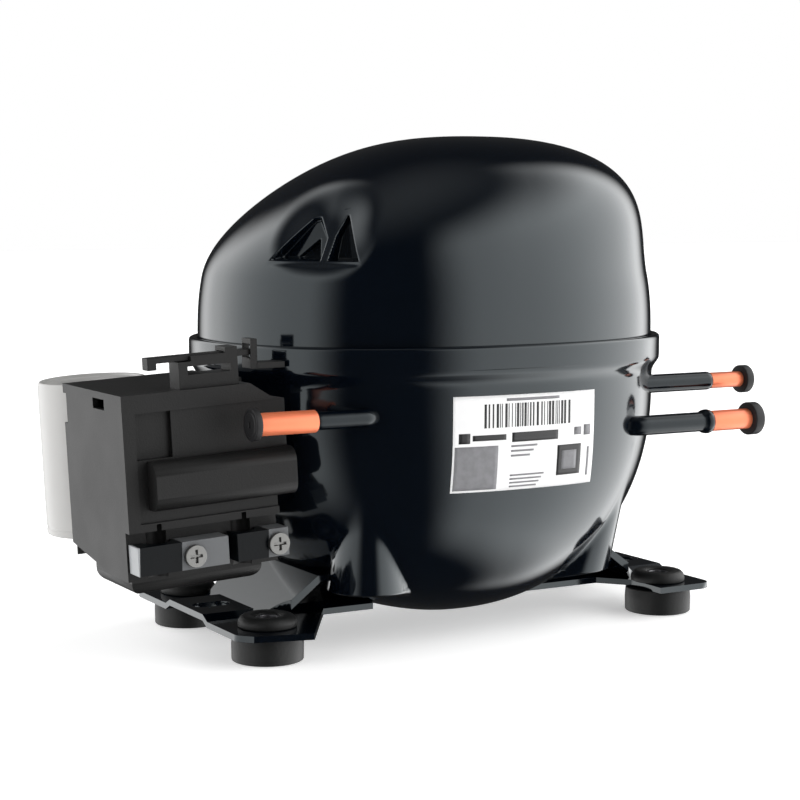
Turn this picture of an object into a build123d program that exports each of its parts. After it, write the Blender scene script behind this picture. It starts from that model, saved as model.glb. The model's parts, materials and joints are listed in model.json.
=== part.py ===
from build123d import *

import math
import os

# A small hermetic reciprocating refrigeration compressor. Millimetres, +Z up, +X along the long side of the
# mounting pattern. The origin is the centre of the four mounting holes, on the plane that the feet stand on.

# ---------------------------------------------------------------- driving dimensions
HOLES_X = 170.0            # standard mounting pattern
HOLES_Y = 70.0
SHEET = 3.0                # drawn shell thickness
SHELL_A = 88.5             # outside half length of the shell's oval
SHELL_B = 70.0             # outside half width
OVAL_POWER = 2.3           # superellipse exponent of the oval
DOME_POWER = 2.5           # exponent of the dome's upright profile
BOWL_POWER_X = 2.08        # the bowl closes in faster along X than along Y
BOWL_POWER_Y = 2.66
BOWL_BOTTOM = 5.5
BOWL_SHOULDER = 89.7       # below this height the bowl closes in
RIM_STEP = 101.5           # seat that the upper shell stands on
RIM_TOP = 110.0
RIM_FLARE = 2.7            # how far the rim is belled outwards
DOME_TOP = 185.0
DOME_SHIFT = 18.5          # the crown of the dome leans towards +X
LEG_BOTTOM = 20.0          # four conical bulges that hold the suspension springs
PLATE_TOP = 12.0
PLATE_SHEET = 2.3
BEAD_RISE = 2.0
SADDLE_TOP = 27.0          # each base plate rises in a saddle that is welded to the bowl
SADDLE_HALF = 31.0
SADDLE_CLEAR = 12.0        # the saddle is scalloped round the rubber feet
CRANK_THROW = 9.0
CYLINDER_Z = 124.0
BORE_R = 12.0
FIT = 0.03                 # radial running clearance
BOLT_X = 43.0              # suspension springs and stator bolts
BOLT_Y = 32.0
HANG = 4.0                 # the pump is drawn with its stator foot at 40 and hung this much higher
BOX_TILT = -3.0            # lean of the electrical box about Y
BOX_AT = (-112.0, 0.0, 66.0)

pieces = {}


def disc(radius, bottom, top, x=0.0, y=0.0):
    """An upright cylinder between two heights."""
    return Pos(x, y, (bottom + top) / 2) * Cylinder(radius, top - bottom)


def ring(outer, inner, bottom, top, x=0.0, y=0.0):
    return disc(outer, bottom, top, x, y) - disc(inner, bottom - 1, top + 1, x, y)


def block(x0, x1, y0, y1, z0, z1):
    """A rectangular block given by its limits."""
    return Pos((x0 + x1) / 2, (y0 + y1) / 2, (z0 + z1) / 2) * Box(x1 - x0, y1 - y0, z1 - z0)


def rod_x(radius, x0, x1, y, z):
    """A cylinder lying along X."""
    return Pos((x0 + x1) / 2, y, z) * Rot(0, 90, 0) * Cylinder(radius, x1 - x0)


def rod_y(radius, y0, y1, x, z):
    """A cylinder lying along Y."""
    return Pos(x, (y0 + y1) / 2, z) * Rot(90, 0, 0) * Cylinder(radius, y1 - y0)


def solids_of(*shapes):
    """Separate solids kept side by side in one node."""
    found = []
    for shape in shapes:
        found.extend(shape.solids())
    return Compound(found)


def oval(a, b, z, shift=0.0):
    """A superellipse face at height z."""
    points = []
    count = 32
    for i in range(count):
        angle = 2 * math.pi * i / count
        c = math.cos(angle)
        s = math.sin(angle)
        x = a * math.copysign(abs(c) ** (2 / OVAL_POWER), c)
        y = b * math.copysign(abs(s) ** (2 / OVAL_POWER), s)
        points.append((x, y))
    return Pos(shift, 0, z) * make_face(Spline(*points, periodic=True))


def oval_prism(a, b, bottom, top):
    return extrude(oval(a, b, bottom), top - bottom)


def narrowing(t, power):
    """Relative size of a section at t = 0 (widest) to 1 (crown). It stops just short of a point."""
    return (1 - min(t, 0.997) ** power) ** (1 / power)


def dome(inset):
    """The solid inside the upper shell's surface, moved inwards by inset."""
    height = DOME_TOP - RIM_TOP - inset
    sections = [oval(SHELL_A - 0.5 - inset, SHELL_B - 0.5 - inset, RIM_TOP - 2)]
    for t in (0.0, 0.2, 0.38, 0.54, 0.68, 0.8, 0.89, 0.955, 0.99, 1.0):
        lean = max(0.0, (t - 0.3) / 0.7)
        lean = DOME_SHIFT * lean * lean * (3 - 2 * lean)
        scale = narrowing(t, DOME_POWER)
        sections.append(oval((SHELL_A - 0.5 - inset) * scale, (SHELL_B - 0.5 - inset) * scale,
                             RIM_TOP + height * t, lean))
    return loft(sections)


def bowl(inset):
    """The solid inside the lower shell's surface, moved inwards by inset."""
    height = BOWL_SHOULDER - BOWL_BOTTOM - inset
    sections = [oval(SHELL_A - inset, SHELL_B - inset, RIM_STEP)]
    for t in (0.0, 0.2, 0.38, 0.54, 0.68, 0.8, 0.89, 0.955, 0.99, 1.0):
        a = (SHELL_A - inset) * narrowing(t, BOWL_POWER_X)
        b = (SHELL_B - inset) * narrowing(t, BOWL_POWER_Y)
        sections.append(oval(a, b, BOWL_SHOULDER - height * t))
    return loft(sections)


def leg(side_x, side_y, inset):
    """A conical bulge of the bowl at one corner. It narrows upwards and leans outwards."""
    low = Pos(44 * side_x, 33 * side_y, LEG_BOTTOM + inset) * Circle(15 - inset)
    high = Pos(53 * side_x, 50 * side_y, 70) * Circle(7 - inset)
    return loft([low, high])


def tube_along(points, radius, bend, bore=0.0):
    """A round tube along a path whose corners are rounded."""
    path = FilletPolyline(*points, radius=bend) if len(points) > 2 else Line(*points)
    start = Vector(*points[0])
    run = Vector(*points[1]) - start
    profile = Plane(origin=start, z_dir=run.normalized())
    body = sweep(profile * Circle(radius), path=path)
    if bore:
        body = body - sweep(profile * Circle(bore), path=path)
    return body


corners = [(sx, sy) for sx in (-1, 1) for sy in (-1, 1)]
bowl_outside = bowl(0.0)
rim_flare = loft([oval(SHELL_A, SHELL_B, RIM_STEP - 5),
                  oval(SHELL_A + RIM_FLARE, SHELL_B + RIM_FLARE, RIM_STEP - 1.5)])
rim_outside = oval_prism(SHELL_A + RIM_FLARE, SHELL_B + RIM_FLARE, RIM_STEP - 1.5, RIM_TOP)

# ---------------------------------------------------------------- shell
lower = bowl_outside + rim_flare + rim_outside
for sx, sy in corners:
    lower = lower + leg(sx, sy, 0.0)
lower_hollow = bowl(SHEET) + oval_prism(SHELL_A - 0.3, SHELL_B - 0.3, RIM_STEP, RIM_TOP + 1)
for sx, sy in corners:
    lower_hollow = lower_hollow + leg(sx, sy, SHEET)
lower = lower - lower_hollow

# welded tab with a window that the end of the cover latch enters
keeper = block(-94, -80, -42, -35, 103.2, 105.4) + block(-94, -91.5, -42, -35, 103.2, 113.5)
keeper = keeper - block(-96, -90, -41.6, -35.4, 106.9, 111.6)
lower = lower + (keeper - oval_prism(SHELL_A + RIM_FLARE, SHELL_B + RIM_FLARE, 95, RIM_TOP + 5))

# stamped stop in the dome: a flat ledge with two triangular dents parted by a rib
dent_at = Pos(-67.5, -41, 139.3) * Rot(0, 0, -48.6)
DENT_DEPTH = 8.8
dent_boss = dent_at * Pos(0, 5, 8.5) * Box(36, 15, 23)
dents = None
for triangle in ([(-14, 0), (1, 0), (-3.5, 14)], [(4, 0), (14, 0), (5.5, 16)]):
    wedge = Pos(0, DENT_DEPTH, 0) * extrude(Plane.XZ * make_face(Polyline(*triangle, close=True)), 40)
    dents = wedge if dents is None else dents + wedge
dents = dent_at * dents

dome_outside = dome(0.0)
skirt = oval_prism(SHELL_A - 0.5, SHELL_B - 0.5, RIM_STEP, RIM_TOP - 2)
skirt_hollow = oval_prism(SHELL_A - 0.5 - SHEET, SHELL_B - 0.5 - SHEET, RIM_STEP - 1, RIM_TOP - 2)
dome_hollow = dome(SHEET) - dent_boss
upper = (dome_outside - dome_hollow) + (skirt - skirt_hollow)
upper = upper - dents

# ---------------------------------------------------------------- tubes through the lower shell
# name: path, outside radius, bore radius, bend radius
TUBES = {
    "discharge": ([(-45, -49, 86), (-57.5, -58.5, 86), (-78, -58.5, 86)], 3.1, 2.0, 5),
    "suction": ([(44, -47, 77), (56, -59.5, 77), (89.3, -59.5, 77)], 3.3, 2.2, 6),
    "process": ([(60, -46, 91), (99.7, -46, 91)], 3.5, 2.3, 5),
}
# name: axis y, z, start x, end x, outside radius, bore radius, cap radius, direction
STUBS = {
    "discharge": (-58.5, 86, -78, -99.6, 3.9, 2.9, 5.5, -1),
    "suction": (-59.5, 77, 89.3, 108, 3.9, 2.9, 6.3, 1),
    "process": (-46, 91, 99.7, 115, 3.05, 2.1, 5.4, 1),
}
CAP_THICK = {"discharge": 2.7, "suction": 4.4, "process": 3.8}
for name, (path, outside, bore, bend) in TUBES.items():
    tube_solid = tube_along(path, outside, bend)
    lower = lower - tube_solid
    connector = tube_along(path, outside, bend, bore)
    y, z, x0, x1, stub_r, stub_bore, cap_r, way = STUBS[name]
    if name == "suction":
        bell = rod_x(4.6, x0 - 2.6, x0, y, z) - rod_x(outside - 0.2, x0 - 3, x0 + 1, y, z)
        connector = connector + bell
    pieces[name + "_connector"] = connector
    low, high = min(x0, x1), max(x0, x1)
    stub = rod_x(stub_r, low, high, y, z) - rod_x(stub_bore, low - 1, high + 1, y, z)
    pieces[name + "_copper_stub"] = stub
    outer_end = x1 + way * CAP_THICK[name]
    cap_low, cap_high = min(x1, outer_end), max(x1, outer_end)
    plug_low, plug_high = min(x1, x1 - way * 8), max(x1, x1 - way * 8)
    cap = rod_x(cap_r, cap_low, cap_high, y, z) + rod_x(stub_bore - 0.05, plug_low, plug_high, y, z)
    cap = cap - rod_x(1.0, outer_end - 1.5, outer_end + 1.5, y, z)
    pieces[name + "_cap"] = cap

# ---------------------------------------------------------------- hermetic terminal in the end wall
TERMINAL_Y = -8.0
TERMINAL_Z = 66.0
terminal_hole = rod_x(12.5, -96, -76, TERMINAL_Y, TERMINAL_Z)
lower = lower - terminal_hole
pins_at = [(TERMINAL_Y, TERMINAL_Z + 6.0), (TERMINAL_Y - 5.2, TERMINAL_Z - 3.0),
           (TERMINAL_Y + 5.2, TERMINAL_Z - 3.0)]
terminal_cup = rod_x(12.5, -90.5, -81, TERMINAL_Y, TERMINAL_Z) - rod_x(10.5, -88, -80, TERMINAL_Y, TERMINAL_Z)
beads = []
pins = []
for pin_y, pin_z in pins_at:
    terminal_cup = terminal_cup - rod_x(2.6, -92, -80, pin_y, pin_z)
    beads.append(rod_x(2.6, -91.5, -86.5, pin_y, pin_z) - rod_x(1.15, -93, -84, pin_y, pin_z))
    pins.append(rod_x(1.15, -104, -74, pin_y, pin_z))
pieces["terminal_cup"] = terminal_cup
pieces["terminal_glass_beads"] = solids_of(*beads)
pieces["terminal_pins"] = solids_of(*pins)
pieces["upper_shell"] = upper
pieces["lower_shell"] = lower

# terminal guard: a sheet-steel frame welded round the terminal, with the ground screw's tab
FENCE_Y0, FENCE_Y1 = -27.0, 7.0
FENCE_Z0, FENCE_Z1 = 48.5, 92.5
fence = block(-97, -80, FENCE_Y0, FENCE_Y1, FENCE_Z0, FENCE_Z1)
fence = fence - block(-98, -70, FENCE_Y0 + 1.2, FENCE_Y1 - 1.2, FENCE_Z0 + 1.2, FENCE_Z1 - 1.2)
fence = fence - bowl_outside
GROUND_Y, GROUND_Z = FENCE_Y0 - 4.6, 60.5
ground_tab = block(-97, -95.8, FENCE_Y0 - 9, FENCE_Y0 + 0.6, GROUND_Z - 4.5, GROUND_Z + 4.5)
ground_tab = ground_tab - rod_x(1.7, -99, -94, GROUND_Y, GROUND_Z)
pieces["terminal_guard"] = fence + ground_tab
ground_screw = rod_x(3.2, -99.2, -97, GROUND_Y, GROUND_Z) + rod_x(1.6, -97.5, -92, GROUND_Y, GROUND_Z)
pieces["ground_screw"] = ground_screw

# start relay on the two lower pins and overload protector on the upper pin
relay = block(-113, -94.5, -22, 5.6, 50, 66.4)
for pin_y, pin_z in pins_at[1:]:
    relay = relay - rod_x(1.25, -105, -94, pin_y, pin_z)
relay = fillet(relay.edges().filter_by(Axis.X), 1.5)
relay = relay + block(-114.5, -113, -19, 2.6, 52.5, 63.5)
pieces["start_relay"] = relay
relay_tabs = [block(-120, -114.5, y - 2.4, y + 2.4, 57.6, 58.4) for y in (-15, -8, -1)]
pieces["relay_tabs"] = solids_of(*relay_tabs)
protector = rod_x(10.6, -106, -94.5, TERMINAL_Y, 79.0) + rod_x(9.4, -108.4, -105, TERMINAL_Y, 79.0)
protector = protector - rod_x(1.25, -105, -94, *pins_at[0])
pieces["overload_protector"] = protector

# ---------------------------------------------------------------- electrical box, in its own tilted frame
box_place = Location(BOX_AT, (0, BOX_TILT, 0))
X0, X1 = -28.7, 31.0
Y0, Y1 = -45.0, 11.0
Z_TOP, Z_SILL, Z_LOW = 31.8, -14.2, -31.0
WALL = 2.0
GLAND_FACE = -41.5         # front of the lower part, behind the clamps
APRON_X1 = 26.5
cover = block(X0, X1, Y0, Y1, Z_SILL, Z_TOP) - block(APRON_X1, X1 + 1, Y0 - 1, Y1 + 1, Z_SILL - 1, -7.5)
cover = cover + block(X0, APRON_X1, GLAND_FACE, Y1, Z_LOW, Z_SILL + 1)
facet = make_face(Polyline((18, Z_TOP), (25.6, 26.6), (X1 + 1, 25.2), (X1 + 1, Z_TOP + 1), (18, Z_TOP + 1),
                           close=True))
cover = cover - Pos(0, Y0 + 20, 0) * extrude(Plane.XZ * facet, 30)
low_back = make_face(Polyline((Y1 + 1, -25), (Y1 + 1, Z_LOW - 1), (-30, Z_LOW - 1), (-26, Z_LOW), close=True))
cover = cover - Pos(X0 - 1, 0, 0) * extrude(Plane.YZ * low_back, 80)
# front recess, deeper in its upper left part, with a rounded hollow bar that stands out of it
cover = cover - block(X0 + 4.4, X1 + 1, Y0 - 1, Y0 + 1.0, -11.5, 25.5)
cover = cover - block(X0 + 4.4, -11.2, Y0 - 1, Y0 + 3.0, 9.8, 25.5)
bar = block(-20.5, X1, Y0 - 6.5, Y0 + 2, -7.2, 9.2)
bar = fillet(bar.edges().filter_by(Axis.X).group_by(Axis.Y)[0], 4.5)
cover = cover + bar
# rounded tray under the lower part
tray = block(-26, 22, -37.5, -4, Z_LOW - 6, Z_LOW + 3)
tray = fillet(tray.edges().group_by(Axis.Z)[0], 4.5)
cover = cover + tray
inside = block(X0 + WALL, X1 + 1, Y0 + WALL + 3.2, Y1 - WALL, Z_SILL + WALL, Z_TOP - WALL)
inside = inside + block(X0 + WALL, X1 + 1, GLAND_FACE + 9, Y1 - WALL, Z_LOW + 9 + WALL, Z_SILL + WALL + 1)
cover = cover - inside
cover = cover - block(X0 - 1, X0 + WALL + 1, -29, -18.5, 25.8, 29.4)
cover = cover - block(X0 - 1, X0 + WALL + 1, 8.0, Y1 + 1, 18, 28.5)
# saddle that the capacitor is clipped to
CAP_X, CAP_Y, CAP_R = -10.2, 31.0, 20.0
cover = cover + block(CAP_X - 8, CAP_X + 8, Y1 - 1, Y1 + 4, -18, 22)
cover = cover - Pos(CAP_X, CAP_Y, 0) * Cylinder(CAP_R, 90)
# two upright gland channels behind the clamp straps, and the screw holes beside them
SCREWS_X = (-8.1, 22.8)
STRAPS_X = ((-28.0, 4.6), (7.8, 27.0))
CHANNELS_X = (-18.0, 13.0)
SCREW_Z = -23.3
CABLE_R = 3.6
for channel_x, screw_x in zip(CHANNELS_X, SCREWS_X):
    cover = cover - Pos(channel_x, GLAND_FACE, -26) * Cylinder(CABLE_R, 28)
    cover = cover - rod_y(1.5, GLAND_FACE - 4, GLAND_FACE + 7, screw_x, SCREW_Z)
# latch guide on top
GUIDE_X0, GUIDE_X1 = -6.7, 15.0
STRIP_Z = 41.0
guide = block(GUIDE_X0, GUIDE_X1, -42.6, -34.4, Z_TOP - 0.5, STRIP_Z + 1.6)
guide = guide - block(GUIDE_X0 - 1, GUIDE_X1 + 1, -41.2, -35.8, STRIP_Z - 0.2, STRIP_Z + 5)
guide = guide - block(-3.4, 12.4, -44, -34, 36.4, 39.2)
guide = guide - block(GUIDE_X0 - 1, -2, -44, -34, STRIP_Z - 0.2, STRIP_Z + 5)
bridge = block(10.5, GUIDE_X1, -42.6, -34.4, STRIP_Z + 1, STRIP_Z + 3.6)
bridge = bridge - block(10, GUIDE_X1 + 1, -41.2, -35.8, STRIP_Z - 0.2, STRIP_Z + 2.2)
cover = cover + guide + bridge
cover_world = box_place * cover
shell_gap = oval_prism(SHELL_A + 1.5, SHELL_B + 1.5, 20, 95)
shell_gap = shell_gap + oval_prism(SHELL_A + 4.5, SHELL_B + 4.5, 94, 120)
cover_world = cover_world - shell_gap
pieces["electrical_cover"] = cover_world

# latch strip through the guide, hooked at its outer end
latch = block(-17, 21.5, -41.0, -36.0, STRIP_Z, STRIP_Z + 2)
latch = latch + block(-17, -13.8, -41.0, -36.0, STRIP_Z - 2.2, STRIP_Z + 1)
pieces["cover_latch"] = box_place * latch

# clamp straps with a half-round groove for the cable, and their screws
straps = []
screws = []
FRONT = GLAND_FACE - 8.5
for (left, right), channel_x, screw_x in zip(STRAPS_X, CHANNELS_X, SCREWS_X):
    strap = block(left, right, FRONT, GLAND_FACE - 0.2, -27.8, -18.2)
    strap = strap - Pos(channel_x, GLAND_FACE - 0.2, -24) * Cylinder(CABLE_R + 1.2, 20)
    strap = strap - rod_y(1.8, FRONT - 1, GLAND_FACE + 1, screw_x, SCREW_Z)
    straps.append(strap)
    screw = rod_y(3.8, FRONT - 1.9, FRONT, screw_x, SCREW_Z)
    screw = screw - Pos(screw_x, FRONT - 1.9, SCREW_Z) * Box(4.4, 2, 0.9)
    screw = screw - Pos(screw_x, FRONT - 1.9, SCREW_Z) * Box(0.9, 2, 4.4)
    screw = screw + rod_y(1.45, FRONT - 0.5, GLAND_FACE + 6, screw_x, SCREW_Z)
    screws.append(screw)
pieces["cable_clamp_straps"] = box_place * solids_of(*straps)
pieces["clamp_screws"] = box_place * solids_of(*screws)

# run capacitor
capacitor = Pos(CAP_X, CAP_Y, 2.1) * Cylinder(CAP_R, 56.2)
capacitor = fillet(capacitor.edges().filter_by(GeomType.CIRCLE), 1.6)
pieces["run_capacitor"] = box_place * capacitor
tabs = [block(CAP_X + dx - 3, CAP_X + dx + 3, CAP_Y - 0.4, CAP_Y + 0.4, -34, -26) for dx in (-7, 7)]
pieces["capacitor_tabs"] = box_place * solids_of(*tabs)

# ---------------------------------------------------------------- base plates, feet and sleeves
outline = [(-101, -43.5), (-96.5, -48.5), (-76, -54), (-59, -26), (-54, -18), (-34, -18), (-34, 18),
           (-66, 18), (-76, 30), (-76, 49), (-101, 49)]
flat = extrude(make_face(Polyline(*outline, close=True)), PLATE_SHEET)
flat = fillet(flat.edges().filter_by(Axis.Z).group_by(Axis.X)[0], 5)
flat = Pos(0, 0, PLATE_TOP - PLATE_SHEET) * flat
bead_side = [(-19, PLATE_TOP - PLATE_SHEET), (-15, PLATE_TOP - PLATE_SHEET + BEAD_RISE),
             (15, PLATE_TOP - PLATE_SHEET + BEAD_RISE), (19, PLATE_TOP - PLATE_SHEET)]
bead_top = [(y, z + PLATE_SHEET) for y, z in reversed(bead_side)]
profile = Plane.YZ * make_face(Polyline(*bead_side, *bead_top, close=True))
bead = Pos(-101, 0, 0) * extrude(profile, 67)
flat = flat - block(-110, -30, -19, 19, 0, 20)
saddle_side = [(-84, PLATE_TOP - 0.2), (-63, SADDLE_TOP), (-50, SADDLE_TOP), (-50, SADDLE_TOP - PLATE_SHEET),
               (-62, SADDLE_TOP - PLATE_SHEET), (-81.5, PLATE_TOP - PLATE_SHEET)]
saddle = Plane.XZ * make_face(Polyline(*saddle_side, close=True))
saddle = Pos(0, SADDLE_HALF, 0) * extrude(saddle, 2 * SADDLE_HALF)
for sy in (-1, 1):
    saddle = saddle - disc(SADDLE_CLEAR, 5, 40, -HOLES_X / 2, sy * HOLES_Y / 2)
plate = flat + bead + saddle
slot = Pos(-91, 0, 10) * extrude(SlotOverall(14, 8), 10)
plate = plate - slot
for sy in (-1, 1):
    plate = plate - disc(8.0, 5, 20, -HOLES_X / 2, sy * HOLES_Y / 2)
plate = plate - bowl_outside - leg(-1, -1, 0.0) - leg(-1, 1, 0.0)
pieces["base_plate_left"] = plate
pieces["base_plate_right"] = Rot(0, 0, 180) * plate
feet = []
for sx, sy in corners:
    x, y = sx * HOLES_X / 2, sy * HOLES_Y / 2
    body = disc(12.85, 0, PLATE_TOP - PLATE_SHEET, x, y)
    body = fillet(body.edges().filter_by(GeomType.CIRCLE).group_by(Axis.Z)[0], 1.0)
    collar = disc(10.5, PLATE_TOP, PLATE_TOP + 4.2, x, y)
    collar = fillet(collar.edges().filter_by(GeomType.CIRCLE), 1.9)
    foot = body + collar + disc(7.95, PLATE_TOP - PLATE_SHEET - 1, PLATE_TOP + 1, x, y)
    feet.append(foot - disc(4.5, -1, 20, x, y))
pieces["rubber_feet"] = solids_of(*feet)
sleeves = [ring(4.5, 3.3, 0, PLATE_TOP + 3.2, sx * HOLES_X / 2, sy * HOLES_Y / 2) for sx, sy in corners]
pieces["mounting_sleeves"] = solids_of(*sleeves)

# sticker on the front of the lower shell
sticker = bowl(-0.35) & block(-29, 30.7, -75, -50, 58.4, 92.8)
pieces["label"] = sticker - bowl_outside

# ---------------------------------------------------------------- suspension inside the shell
FLOOR = LEG_BOTTOM + SHEET
SPRING_WIRE = 0.75
SPRING_R = 6.4
SPRING_PITCH = 3.2
seats = []
stops = []
springs = []
bolts = []
for sx, sy in corners:
    x, y = sx * BOLT_X, sy * BOLT_Y
    seats.append(disc(8.5, FLOOR, FLOOR + 2, x, y) + disc(5.2, FLOOR + 1, FLOOR + 7, x, y))
    stops.append(disc(8.5, 38, 40, x, y) + disc(5.2, 31, 39, x, y) - disc(4.6, 33, 41, x, y))
    bolts.append(disc(4.5, 34.5, 40, x, y) + disc(2.45, 39, 104, x, y))
    low = FLOOR + 2 + SPRING_WIRE
    high = 38 + HANG - SPRING_WIRE
    helix = Helix(pitch=SPRING_PITCH, height=high - low, radius=SPRING_R)
    slope = SPRING_PITCH / (2 * math.pi * SPRING_R)
    wire_face = Plane(origin=(SPRING_R, 0, 0), z_dir=(0, 1, slope)) * Circle(SPRING_WIRE)
    coil = sweep(wire_face, path=helix, is_frenet=True)
    springs.append(Pos(x, y, low) * coil)
pieces["spring_lower_seats"] = solids_of(*seats)
pieces["spring_upper_stops"] = solids_of(*stops)
pieces["suspension_springs"] = solids_of(*springs)
pieces["stator_bolts"] = solids_of(*bolts)

# ---------------------------------------------------------------- motor
STATOR_LOW, STATOR_HIGH = 40.0, 78.0
stack = block(-52, 52, -45, 45, STATOR_LOW, STATOR_HIGH)
stack = chamfer(stack.edges().filter_by(Axis.Z), 8)
stack = stack - disc(26.6, 30, 90)
slot_count = 24
for index in range(slot_count):
    turn = Rot(0, 0, 360 / slot_count * index)
    stack = stack - turn * block(28.6, 38, -1.9, 1.9, STATOR_LOW - 1, STATOR_HIGH + 1)
for sx, sy in corners:
    stack = stack - disc(2.6, 30, 90, sx * BOLT_X, sy * BOLT_Y)
pieces["stator_core"] = stack
winding = ring(38.5, 29.5, 27, STATOR_LOW) + ring(38.5, 29.5, STATOR_HIGH, 90)
winding = fillet(winding.edges().filter_by(GeomType.CIRCLE), 2.5)
for index in range(slot_count):
    turn = Rot(0, 0, 360 / slot_count * index)
    winding = winding + turn * block(31, 36.5, -1.5, 1.5, STATOR_LOW - 4, STATOR_HIGH + 4)
pieces["stator_winding"] = winding
rotor = ring(26.2, 8.0, STATOR_LOW, STATOR_HIGH)
pieces["rotor_core"] = rotor
pieces["rotor_end_rings"] = solids_of(ring(24, 15, 35, STATOR_LOW), ring(24, 15, STATOR_HIGH, 82))
weight = ring(24, 15, 30, 35) & block(-30, 4, -30, 30, 20, 40)
pieces["rotor_counterweight"] = weight

# ---------------------------------------------------------------- cylinder block (one casting)
PLATE_LOW, PLATE_HIGH = 95.0, 104.0
casting = block(-50, 52, -41, 41, PLATE_LOW, PLATE_HIGH)
casting = chamfer(casting.edges().filter_by(Axis.Z), 9)
for sx, sy in corners:
    casting = casting + disc(6.8, STATOR_HIGH, PLATE_HIGH, sx * BOLT_X, sy * BOLT_Y)
casting = casting + disc(14.0, 84, PLATE_LOW + 1)
cylinder_body = block(23.4, 48.6, -19, 19, PLATE_HIGH - 1, 143)
cylinder_body = fillet(cylinder_body.edges().filter_by(Axis.X).group_by(Axis.Z)[-1], 6)
casting = casting + cylinder_body
rib = block(-20.5, 48.6, -30, -23.4, PLATE_HIGH - 1, 112)
casting = casting + rib
casting = casting - rod_x(BORE_R, 20, 50, 0, CYLINDER_Z)
casting = casting + block(25, 35, -30, -18, PLATE_HIGH - 1, 129)
casting = casting - disc(8.0 + FIT, 80, 110)
# drilled discharge passage: back from the head, across the side boss, down and along the rib
PASSAGE_R = 1.8
PASSAGE_Y = -16.2
casting = casting - rod_x(PASSAGE_R, 29, 50, PASSAGE_Y, CYLINDER_Z)
casting = casting - rod_y(PASSAGE_R, -28.4, PASSAGE_Y, 30, CYLINDER_Z)
casting = casting - disc(PASSAGE_R, 107, CYLINDER_Z, 30, -26.7)
casting = casting - rod_x(PASSAGE_R, -22, 31.8, -26.7, 107.6)
for sx, sy in corners:
    casting = casting - disc(2.5, 70, 110, sx * BOLT_X, sy * BOLT_Y)
HEAD_BOLTS = [(sy * 15.0, CYLINDER_Z + sz * 15.0) for sy in (-1, 1) for sz in (-1, 1)]
for bolt_y, bolt_z in HEAD_BOLTS:
    casting = casting - rod_x(2.05, 34, 50, bolt_y, bolt_z)
pieces["cylinder_block"] = casting

# ---------------------------------------------------------------- crankshaft, slide block, yoke and piston
WEB_LOW, WEB_HIGH = PLATE_HIGH + 0.6, 111.0
PIN_TOP = 132.5
shaft = disc(8.0, 24, WEB_LOW + 1)
web = disc(22.0, WEB_LOW, WEB_HIGH) - block(0, 30, 9, 30, 100, 115) - block(0, 30, -30, -9, 100, 115)
web = web - block(17.5, 30, -30, 30, 100, 115)
shaft = shaft + web + disc(7.0, WEB_HIGH - 1, PIN_TOP, CRANK_THROW)
half_throw = CRANK_THROW / 2
shaft = shaft - disc(1.6, 122, PIN_TOP + 1, half_throw)
shaft = shaft - disc(2.0, 20, 100)
shaft = shaft - disc(3.2, 20, 34)
pieces["crankshaft"] = shaft
pieces["thrust_washer"] = ring(13.0, 8.3, PLATE_HIGH + 0.05, WEB_LOW - 0.05)
pieces["oil_pickup_tube"] = ring(3.15, 2.3, 12, 33)
pieces["crank_pin_oil_plug"] = disc(1.5, 122.2, PIN_TOP - 0.2, half_throw)

slider = rod_y(9.95, -10, 10, CRANK_THROW, CYLINDER_Z)
slider = slider - disc(7.0 + FIT, 100, 150, CRANK_THROW)
slider = slider & block(-20, 40, -10, 10, CYLINDER_Z - 9.4, CYLINDER_Z + 9.4)
pieces["slide_block"] = slider

yoke = rod_y(12.5, -20.5, 20.5, CRANK_THROW, CYLINDER_Z)
yoke = yoke + rod_x(BORE_R - FIT, CRANK_THROW + 8, CRANK_THROW + 40, 0, CYLINDER_Z)
yoke = yoke - rod_y(9.95 + FIT, -22, 22, CRANK_THROW, CYLINDER_Z)
pin_slot = Pos(CRANK_THROW, 0, 110) * extrude(Rot(0, 0, 90) * SlotOverall(33.4, 14.8), 30)
yoke = yoke - pin_slot
yoke = yoke - rod_x(8.5, CRANK_THROW + 14, CRANK_THROW + 35, 0, CYLINDER_Z)
reed_relief = block(CRANK_THROW + 38.4, CRANK_THROW + 41, -3.6, 3.6, CYLINDER_Z - 10, CYLINDER_Z + 7)
yoke = yoke - reed_relief
pieces["piston_and_yoke"] = yoke

# ---------------------------------------------------------------- valves and cylinder head
def face_plate(x0, x1):
    """A plate the size of the cylinder's end face, with the four bolt holes."""
    sheet = block(x0, x1, -19, 19, 106, 142)
    sheet = fillet(sheet.edges().filter_by(Axis.X), 4)
    for bolt_y, bolt_z in HEAD_BOLTS:
        sheet = sheet - rod_x(2.2, x0 - 1, x1 + 1, bolt_y, bolt_z)
    return sheet


def chambers(x0, x1):
    """The suction side and the discharge side of the head, with the passage beside the bore."""
    rooms = block(x0, x1, -2.8, 15, 112, 136) + block(x0, x1, -14.5, -4.2, 112, 136)
    return rooms + rod_x(PASSAGE_R, x0, x1, PASSAGE_Y, CYLINDER_Z)


GASKET = (48.6, 49.2)
REED = (49.2, 49.6)
VALVE = (49.6, 52.6)
TOP_GASKET = (52.6, 53.2)
HEAD = (53.2, 67.0)
through_passage = rod_x(PASSAGE_R, 40, 60, PASSAGE_Y, CYLINDER_Z)
pieces["cylinder_gasket"] = face_plate(*GASKET) - rod_x(12.6, 40, 60, 0, CYLINDER_Z) - through_passage
reed_frame = face_plate(*REED) - block(40, 60, -3.6, 3.6, CYLINDER_Z - 10.4, CYLINDER_Z + 6.4)
reed_frame = reed_frame - rod_x(2.6, 40, 60, -6.5, CYLINDER_Z + 5.5) - through_passage
pieces["suction_reed_frame"] = reed_frame
pieces["suction_reed"] = block(REED[0], REED[1], -3.2, 3.2, CYLINDER_Z - 10, CYLINDER_Z + 6)
valve_plate = face_plate(*VALVE)
valve_plate = valve_plate - rod_x(2.2, 48, 55, 0, CYLINDER_Z + 2.6)
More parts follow.
